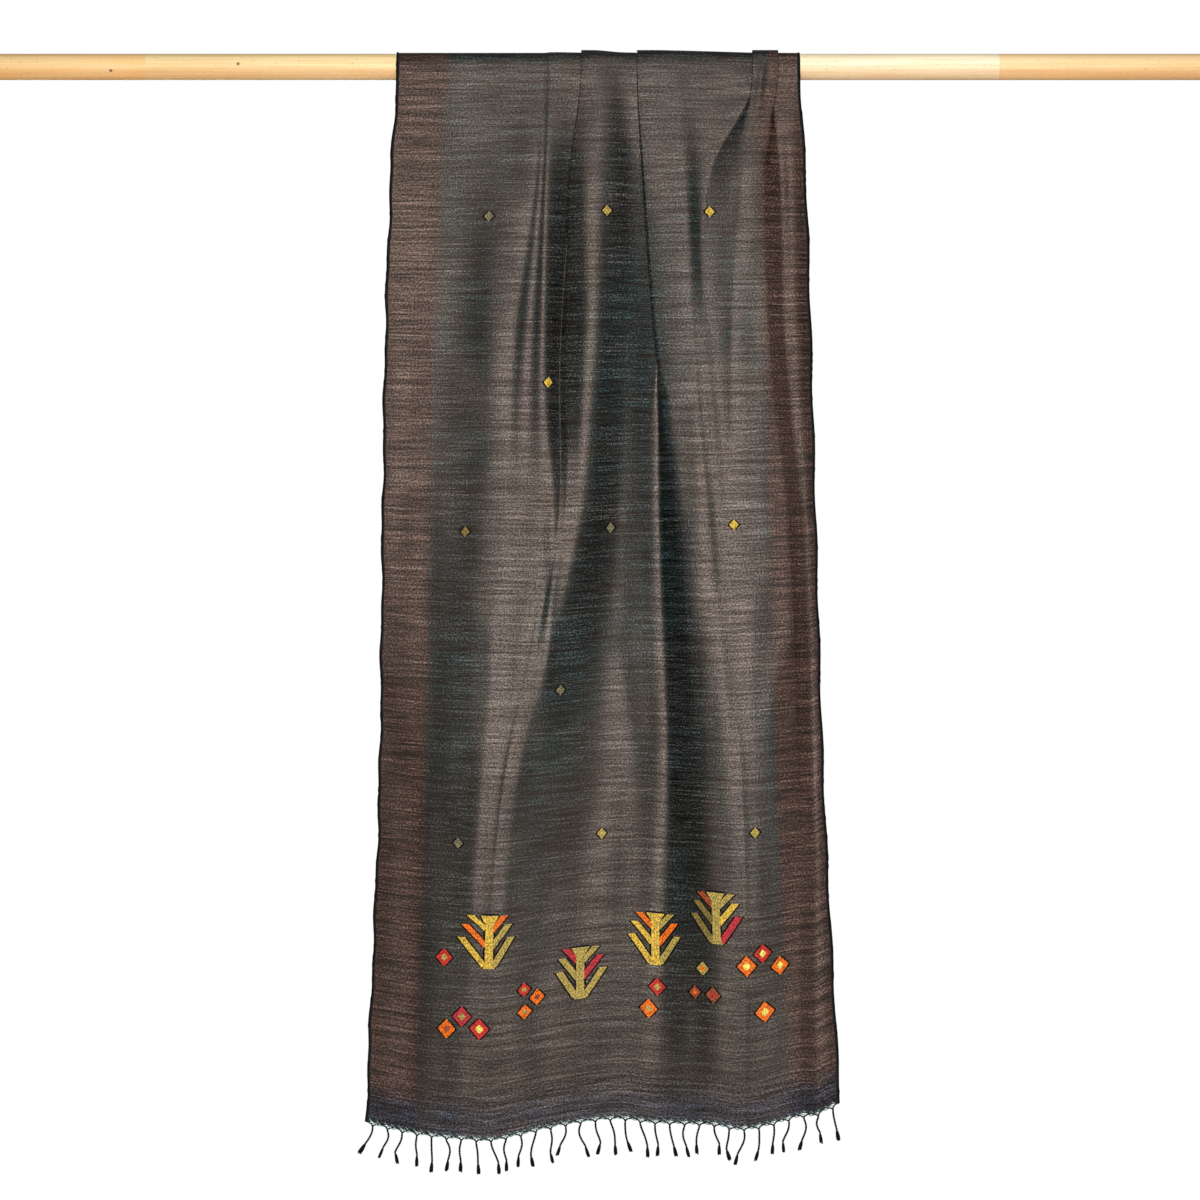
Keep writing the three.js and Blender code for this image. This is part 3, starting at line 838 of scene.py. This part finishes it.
def lay_float(start, end, v, dye, side):
    """A float from one flat u to another on pick v, on the face (1) or the reverse (-1)."""
    length = end - start + FLOAT_OVERLAP
    along = (start + end) / 2 + FLOAT_POINTS[:, 2] * length
    v_at = v + FLOAT_POINTS[:, 1] * FLOAT_WIDTH
    rise = SILK_THICKNESS / 2 + FLOAT_CLEAR + FLOAT_POINTS[:, 0] * FLOAT_HEIGHT
    faces = FLOAT_FACES if side > 0 else [face[::-1] for face in FLOAT_FACES]
    return on_cloth(along, v_at, side * rise), faces, DYES.index(dye)


# %% The chart of a little tree
TREE_HEIGHT = 54.5
STEM_HALF = 4.7
BASE_HALF = 7.0
CAP_HALF = 10.8
CAP_DEPTH = 9.5
BRANCH_HALF = 4.3
# The dark floats round each run are partly outline weft and partly painted shadow at the motif's
# edges.
OUTLINE_AND_SHADOW = 2.0
# The top, middle and low branch. Each one's middle line rises from the first height on the stem's
# side to the second one at its tip, which is as far out as its reach.
BRANCHES = ((41, 54, 19), (24, 44.5, 24), (2, 31.5, 28))
# u and base are the stem's place and the foot's height above the hem on the flat cloth. The dyes
# are those of the top, middle and low branch on the left and then on the right.
TREES = [
    {"u": 134, "base": 173, "spread": (1.16, 0.9), "stem": "gold",
     "left": ("gold", "orange", "gold"), "right": ("orange", "old_gold", "old_gold")},
    {"u": 239, "base": 128, "spread": (0.88, 0.96), "stem": "old_gold",
     "left": ("crimson", "old_gold", "old_gold"), "right": ("old_gold", "crimson", "old_gold")},
    {"u": 325, "base": 162, "spread": (1.0, 0.95), "stem": "gold",
     "left": ("orange", "gold", "gold"), "right": ("old_gold", "orange", "old_gold")},
    {"u": 399, "base": 188, "spread": (0.95, 0.95), "stem": "old_gold",
     "left": ("rust", "olive", "olive"), "right": ("old_gold", "gold", "crimson")},
]


def stem_half(height):
    """Half the stem's width: a broad foot, a straight stem and a flared top."""
    foot = (BASE_HALF - STEM_HALF) * max(0, 1 - height / 7)
    cap = (CAP_HALF - STEM_HALF) * max(0, 1 - (TREE_HEIGHT - height) / CAP_DEPTH)
    return STEM_HALF + foot + cap


def tree_runs(tree, height):
    """The runs of warp ends that one pick covers, as start, end and dye."""
    body = stem_half(height)
    runs = [(-body, body, tree["stem"])]
    sides = zip((-1, 1), (tree["left"], tree["right"]), tree["spread"])
    for sign, dyes, spread in sides:
        for (low, high, reach), dye in zip(BRANCHES, dyes):
            share = (height - low) / (high - low)
            middle = STEM_HALF + share * (reach * spread - STEM_HALF)
            inner = max(middle - BRANCH_HALF, body)
            outer = middle + BRANCH_HALF
            if height < high and outer - inner > 1.5:
                runs.append((*sorted((sign * inner, sign * outer)), dye))
    return sorted(runs)


def outline_and_shadow_runs(runs):
    """Short dark floats that frame each run and fill the gap where two runs nearly meet: partly
    outline weft, partly painted shadow round the motif.
    """
    framed = []
    for k, (start, end, _) in enumerate(runs):
        gap_left = start - runs[k - 1][1] if k else 99
        if gap_left > 0.3:
            framed.append((start - min(OUTLINE_AND_SHADOW, gap_left), start, "dark"))
        gap_right = runs[k + 1][0] - end if k + 1 < len(runs) else 99
        if gap_right > 2 * OUTLINE_AND_SHADOW:
            framed.append((end, end + OUTLINE_AND_SHADOW, "dark"))
    return framed


def tree_floats(tree, side):
    parts = []
    u = tree["u"]
    for pick in range(int(TREE_HEIGHT / PICK)):
        height = (pick + 0.5) * PICK
        v = tree["base"] + height
        runs = tree_runs(tree, height)
        for start, end, dye in runs:
            parts += lay_run(u + start, u + end, v, dye, side)
        for start, end, dye in outline_and_shadow_runs(runs):
            parts.append(lay_float(u + start, u + end, v, dye, side))
    top = tree["base"] + TREE_HEIGHT + PICK / 2
    # A dark float over the tree's top: outline weft and painted shadow.
    parts.append(lay_float(u - CAP_HALF, u + CAP_HALF, top, "dark", side))
    return parts


# %% The chart of a lozenge
GOLD_HALF = 5.2
FIELD_REPEAT = 965
FIELD_ENDS = 120
HEART_SHARE = 0.45
# Each row holds its height above the hem, and the places across and the yarns of its lozenges. The
# rows repeat up the whole cloth. Where the gold yarn ran out the weaver went on with a dull one.
FIELD = [
    (303, (97, 264, 446), ("dim_gold", "old_gold", "old_gold")),
    (459, (213.5,), ("dim_gold",)),
    (626, (100, 274, 431), ("olive", "dim_gold", "gold")),
    (781, (193,), ("gold",)),
    (960, (115, 261, 417), ("dim_gold", "old_gold", "gold")),
    (1102, (205,), ("gold",)),
]
# Each row holds a lozenge's u and v on the flat cloth, half of its width, and the dyes of its edge
# and of its heart.
LOZENGES = [
    (83, 182, 9, "red", "old_gold"),
    (105, 122.5, 10, "crimson", "old_gold"),
    (88, 109, 9.5, "orange", "rust"),
    (125, 111, 10.5, "red", "yellow"),
    (175, 147, 7, "red", "old_gold"),
    (190, 137, 8, "orange", "rust"),
    (176, 124, 7.5, "orange", "old_gold"),
    (450.5, 178.5, 9.5, "red", "yellow"),
    (432, 167, 10.5, "orange", "yellow"),
    (469.5, 162.5, 9.5, "orange", "yellow"),
    (450.5, 117, 10.5, "orange", "yellow"),
    (381.5, 161, 7, "old_gold", "orange"),
    (371.5, 136, 6.5, "rust", "orange"),
    (392.5, 134, 8, "rust", "crimson"),
    (327, 139.5, 9, "red", "old_gold"),
    (317, 116, 9.5, "orange", "old_gold"),
]


def field_lozenges():
    """The small gold lozenges that are scattered over the whole length."""
    found = []
    for repeat in (0, 1):
        for height, places, dyes in FIELD:
            v = height + repeat * FIELD_REPEAT
            if v > CLOTH_LENGTH - FIELD_ENDS:
                continue
            for u, dye in zip(places, dyes):
                drift = 3 * uneven(repeat + 1, u)
                found.append((u + 0.5 * drift, v + drift, GOLD_HALF, dye, dye))
    return found


def lozenge_floats(motif, side):
    """Floats that grow and shrink, in three runs where the pick crosses the heart."""
    u, middle, half, edge, heart_dye = motif
    picks = max(3, round(2 * half / PICK))
    parts = []
    for pick in range(picks):
        height = (pick + 0.5 - picks / 2) * PICK
        wide = half - abs(height) + 0.6
        heart = half * HEART_SHARE - abs(height)
        v = middle + height
        for start, end, dye in outline_and_shadow_runs([(-wide, wide, edge)]):
            parts.append(lay_float(u + start, u + end, v, dye, side))
        runs = [(-wide, wide, edge)]
        if heart > 0.8:
            runs = [(-wide, -heart, edge), (-heart, heart, heart_dye), (heart, wide, edge)]
        for start, end, dye in runs:
            parts += lay_run(u + start, u + end, v, dye, side)
    return parts


# %% Laying the brocade
for side, word in ((1, "face"), (-1, "reverse")):
    groups = {
        "brocade_trees_" + word: [part for tree in TREES for part in tree_floats(tree, side)],
        "brocade_lozenges_" + word: [
            part for motif in LOZENGES + field_lozenges() for part in lozenge_floats(motif, side)],
    }
    for name, parts in groups.items():
        motif_piece = join_shapes(name, parts, BROCADE)
        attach(motif_piece, "root")
        print(name, "has", len(parts), "floats")

# %% [markdown]
# ## Fringe
# Under the hem the warp ends are gathered two small groups at a time, so that arches stand between
# the strands, and are twisted into a two-ply cord that ends in a flared brush of loose ends. One
# cord is modelled straight, with the Screw modifier, and each strand is that cord bent along its
# own path. The leans of the strands are those of the solid.

# %% A straight two-ply cord
CORD_LENGTH = 24
PLY_RADIUS = 0.78
PLY_OFF = 0.56
PLY_PITCH = 4.0
PLY_SIDES = 5


def model_ply(turned):
    """A helical ply: a small ring swept up a screw."""
    deselect_all()
    bpy.ops.mesh.primitive_circle_add(
        vertices=PLY_SIDES, radius=PLY_RADIUS * MM, location=(PLY_OFF * MM, 0, 0),
        rotation=(math.pi / 2, 0, 0), fill_type="NOTHING")
    ply = bpy.context.object
    apply_place()
    screw = ply.modifiers.new("twist", "SCREW")
    screw.axis = "Z"
    screw.angle = 2 * math.pi
    screw.screw_offset = PLY_PITCH * MM
    screw.iterations = int(CORD_LENGTH / PLY_PITCH)
    screw.steps = screw.render_steps = 8
    bpy.ops.object.modifier_apply(modifier="twist")
    bpy.ops.transform.rotate(value=turned, orient_axis="Z", center_override=(0, 0, 0))
    apply_place()
    bpy.ops.object.mode_set(mode="EDIT")
    bpy.ops.mesh.select_all(action="SELECT")
    bpy.ops.mesh.remove_doubles(threshold=0.00001)
    bpy.ops.mesh.fill_holes(sides=PLY_SIDES)
    bpy.ops.mesh.select_all(action="SELECT")
    bpy.ops.mesh.normals_make_consistent(inside=False)
    bpy.ops.object.mode_set(mode="OBJECT")
    return take_shape(ply)


PLIES = [model_ply(0), model_ply(math.pi)]
print("a ply has", len(PLIES[0][1]), "faces")

# %% Bending strands along their paths
STRIP_EDGE = 1.5
STRAND_LENGTH = 27
STRAND_LENGTH_CHANGE = 4
TUFT_LENGTH = 10.5
TUFT_FIBRES = 12
TUFT_HALF = 1.8
FRONT_LEANS = [-14, -8, -6, 0, 0, 1, -1, 3, 9, 0, -3, -4, 2, -9, 8, 3, 6, 6, 9, 3, 7, 4, -3,
               6, 0, -9, -3, -2, -6, -4, 3, 6]
BACK_LEANS = FRONT_LEANS[1:24]
LEG_HALF = 7.4
LEG_DROP = 5.5
LEG_RADII = [0.7, 0.8, 0.8, 0.85, 0.9, 0.9, 0.75]
FIBRE_RADII = [0.62, 0.8, 0.75, 0.45]


def strand_path(root, lean, length, seed, t):
    """A hanging strand's middle line: it leaves straight down, leans away and curls a little."""
    curl = 3.4 * uneven(seed, 21)
    kink = 1.6 * uneven(seed, 23)
    away = lean * ease(t) + curl * np.sin(math.pi * t * 1.1) + kink * np.sin(2 * math.pi * t)
    out = 1.2 * uneven(seed, 22) * np.sin(math.pi * t * 0.8)
    return root + np.stack([away, out, -length * t], 1) * MM


def bend_along(points, path_of, start, end):
    """Moves a straight upright shape so that its axis follows a path."""
    share = mix(start, end, np.clip(points[:, 2] / CORD_LENGTH, 0, 1))
    ahead = unit(path_of(share + 0.01) - path_of(share - 0.01))
    side = unit(np.cross(ahead, np.array([0.0, 1.0, 0.0])))
    front = np.cross(ahead, side)
    return path_of(share) + (side * points[:, :1] + front * points[:, 1:2]) * MM


def tube_along(path, radii, sides):
    """A tapered thread along a path in metres."""
    ring = tube_points(path, np.array(radii) * MM, sides, np.array([0.0, 1.0, 0.13]))
    return ring, ring_faces(len(radii), sides), 0


def fringe_leg(top, root):
    """A thin gathered group: it runs out level along the hem and turns down into its strand."""
    t = np.linspace(0, 1, len(LEG_RADII))
    across = np.sin(t * math.pi / 2)
    drop = 1 - np.cos(t * math.pi / 2)
    path = top[None] + (root - top)[None] * np.stack([across, across, drop], 1)
    return tube_along(path, LEG_RADII, 5)


def one_strand(index, u, hem_v, lean, length, seed):
    """All parts of one strand, from its legs on the hem to its tuft."""
    hem = middle_at(np.array([u]), np.array([hem_v]))[0]
    root = hem + np.array([0, 0, -LEG_DROP * MM])
    whole = length - LEG_DROP + TUFT_LENGTH

    def path_of(t):
        return strand_path(root, lean, whole, index + seed, t)

    tie = 1 - TUFT_LENGTH / whole
    parts = []
    for foot in (-LEG_HALF, LEG_HALF):
        beside = np.clip(np.array([u + foot]), 0.5, CLOTH_WIDTH - 0.5)
        parts.append(fringe_leg(middle_at(beside, np.array([hem_v]))[0], root))
    for points, faces in PLIES:
        parts.append((bend_along(points, path_of, 0, tie), faces, 0))
    start, finish = path_of(np.array([tie - 0.03, 1.0]))
    for fibre in range(TUFT_FIBRES):
        around = 2 * math.pi * fibre / TUFT_FIBRES
        flare = TUFT_HALF * (0.45 + 0.55 * abs(uneven(fibre, index)))
        out = np.array([math.cos(around) * flare, 0.6 * math.sin(around) * flare,
                        1.2 * uneven(fibre, index + 5)]) * MM
        t = np.linspace(0, 1, 4)[:, None]
        path = start * (1 - t) + (finish + out) * t + out * 0.25 * np.sin(math.pi * t)
        parts.append(tube_along(path, FIBRE_RADII, 4))
    return parts


def fringe(name, hem_v, leans, seed, node):
    """A whole fringe, one strand at each gathered group of warp ends."""
    parts = []
    for k in range(STRAND_COUNT):
        u = CLOTH_WIDTH * mix(STRIP_EDGE, 100 - STRIP_EDGE, k / (STRAND_COUNT - 1)) / 100
        length = STRAND_LENGTH + STRAND_LENGTH_CHANGE * uneven(k, seed + 1)
        parts += one_strand(k, u, hem_v, leans[k % len(leans)], length, seed)
    piece = join_shapes(name, parts, [FRINGE_YARN])
    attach(piece, "root")
    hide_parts(node)
    print(name, "has", len(piece.data.polygons), "faces")
    return piece


front_fringe = fringe("fringe_front_strands", 0.0, FRONT_LEANS, 1, "fringe_front")
back_fringe = fringe("fringe_back_strands", ROW_V[-1], BACK_LEANS, 2, "fringe_back")

# %% [markdown]
# ## Hem stitches
# A row of small teal stitches binds the last picks so that they can't slide off the warp, and a
# slack teal thread winds along the edge between the legs of the fringe.

# %% The binding thread at both hems
STITCH_EVERY = 8.2
STITCH_LEAN = 3.4
STITCH_RADII = [0.3, 0.5, 0.5, 0.3]
THREAD_RADIUS = 0.6


def hem_stitches(hem_v, down):
    parts = []
    for k in range(int(CLOTH_WIDTH / STITCH_EVERY)):
        u = (k + 0.5) * STITCH_EVERY
        ends = on_cloth(np.array([u, u + STITCH_LEAN]), hem_v + down * np.array([3.0, 0.6]),
                        np.array([0.45, 0.45]))
        t = np.linspace(0, 1, 4)[:, None]
        parts.append(tube_along(ends[0] * (1 - t) + ends[1] * t, STITCH_RADII, 4))
    return parts


def binding_thread(hem_v):
    """The slack thread that winds in and out under the edge."""
    u = np.linspace(3, CLOTH_WIDTH - 3, 4 * round(CLOTH_WIDTH / STITCH_EVERY))
    turns = 2 * math.pi * u / STITCH_EVERY
    away = np.stack([0 * u, 0.5 * np.cos(turns), -1.3 + 0.7 * np.sin(turns)], 1)
    path = middle_at(u, np.full_like(u, hem_v)) + away * MM
    return tube_along(path, [THREAD_RADIUS] * len(u), 4)


parts = hem_stitches(0.0, 1) + hem_stitches(ROW_V[-1], -1)
parts += [binding_thread(0.0), binding_thread(ROW_V[-1])]
stitches = join_shapes("hem_stitches", parts, [TEAL_THREAD])
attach(stitches, "root")
print("stitches", len(stitches.data.polygons), "faces")

# %% [markdown]
# ## The rod
# The rod is a beech dowel, glued up end to end from shorter lengths that differ a little in tone.
# A cylinder is enough for its form once its ends are eased and each glued joint has a fine groove.

# %% Turning the rod
ROD_LENGTH = 1400
JOINTS = (-487, 432)
GROOVE = 0.35
GROOVE_NARROWS = 0.992
EASED_BY = 1.2

deselect_all()
bpy.ops.mesh.primitive_cylinder_add(
    vertices=96, radius=ROD_RADIUS * MM, depth=ROD_LENGTH * MM, rotation=(0, math.pi / 2, 0))
rod = bpy.context.object
apply_place()
bisect_at([joint + beside for joint in JOINTS for beside in (-GROOVE, 0, GROOVE)], (1, 0, 0))
for vertex in rod.data.vertices:
    if any(abs(vertex.co.x - joint * MM) < 0.1 * MM for joint in JOINTS):
        vertex.co.yz *= GROOVE_NARROWS
ease_ends = rod.modifiers.new("eased_ends", "BEVEL")
ease_ends.width = EASED_BY * MM
ease_ends.segments = 3
ease_ends.limit_method = "ANGLE"
ease_ends.angle_limit = math.radians(60)
bpy.ops.object.modifier_apply(modifier="eased_ends")
bpy.ops.object.shade_smooth_by_angle(angle=math.radians(40))
print("rod has", len(rod.data.polygons), "faces")

# %% [markdown]
# Planed beech is pale and even. What shows is the tone of each glued length, faint streaks of grain
# and the short brown flecks of its rays, with a pin knot here and there. Its underside is painted a
# darker orange: painted shade with warm bounce light.

# %% The rod's finish
KNOTS = ((-387, -13.5, 1.0), (-524, -12.5, -6.0))
beech, tree, shader = new_material("sanded_beech", Roughness=0.5, Specular_IOR_Level=0.4)
place = add_node(tree, "ShaderNodeTexCoord").outputs["Object"]
on_rod = add_node(tree, "ShaderNodeSeparateXYZ", links={0: place})
along_rod, up_rod = on_rod.outputs[0], on_rod.outputs[2]
# Each row holds a pattern's length along the rod and its breadth, in metres, and its detail.
WOOD_PATTERNS = {"grain": (0.11, 0.0016, 3), "fleck": (0.0035, 0.0009, 1), "tone": (0.3, 0.02, 2)}
wood = {}
for name, (long, fine, detail) in WOOD_PATTERNS.items():
    stretched = add_node(tree, "ShaderNodeMapping", {"Scale": (1 / long, 1 / fine, 1 / fine)},
                         {"Vector": place})
    wood[name] = add_node(tree, "ShaderNodeTexNoise", {"Scale": 1.0, "Detail": detail},
                          {"Vector": stretched.outputs[0]}).outputs["Fac"]
layers = [
    (along_rod, -200 * MM, 250 * MM, 1, "#fbf0cd"),
    (along_rod, (JOINTS[0] + 0.4) * MM, (JOINTS[0] - 0.4) * MM, 1, "#e6bd7e"),
    (along_rod, (JOINTS[1] - 0.4) * MM, (JOINTS[1] + 0.4) * MM, 1, "#ecca92"),
    # Painted shade and bounce light: the underside is darker and more orange.
    (up_rod, 3 * MM, -9 * MM, 0.55, "#c98644"),
    (wood["grain"], 0.35, 0.7, 0.35, "#c48f54"),
    (wood["tone"], 0.4, 0.7, 0.3, "#eed6ac"),
    (wood["fleck"], 0.68, 0.76, 0.65, "#94602f"),
]
for knot_place in KNOTS:
    near = add_node(tree, "ShaderNodeVectorMath", {1: [c * MM for c in knot_place]}, {0: place},
                    operation="DISTANCE")
    layers.append((near.outputs["Value"], 2.2 * MM, 1.2 * MM, 0.85, "#4a2c18"))
timber = dyed(tree, colour("#f0d59e"), layers)
tree.links.new(timber, shader.inputs["Base Color"])
bump = add_node(tree, "ShaderNodeBump", {"Strength": 0.3, "Distance": 0.0001},
                {"Height": wood["grain"]})
tree.links.new(bump.outputs[0], shader.inputs["Normal"])

finish_object(rod, "rod_dowel", beech)
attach(rod, "root")
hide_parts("rod")
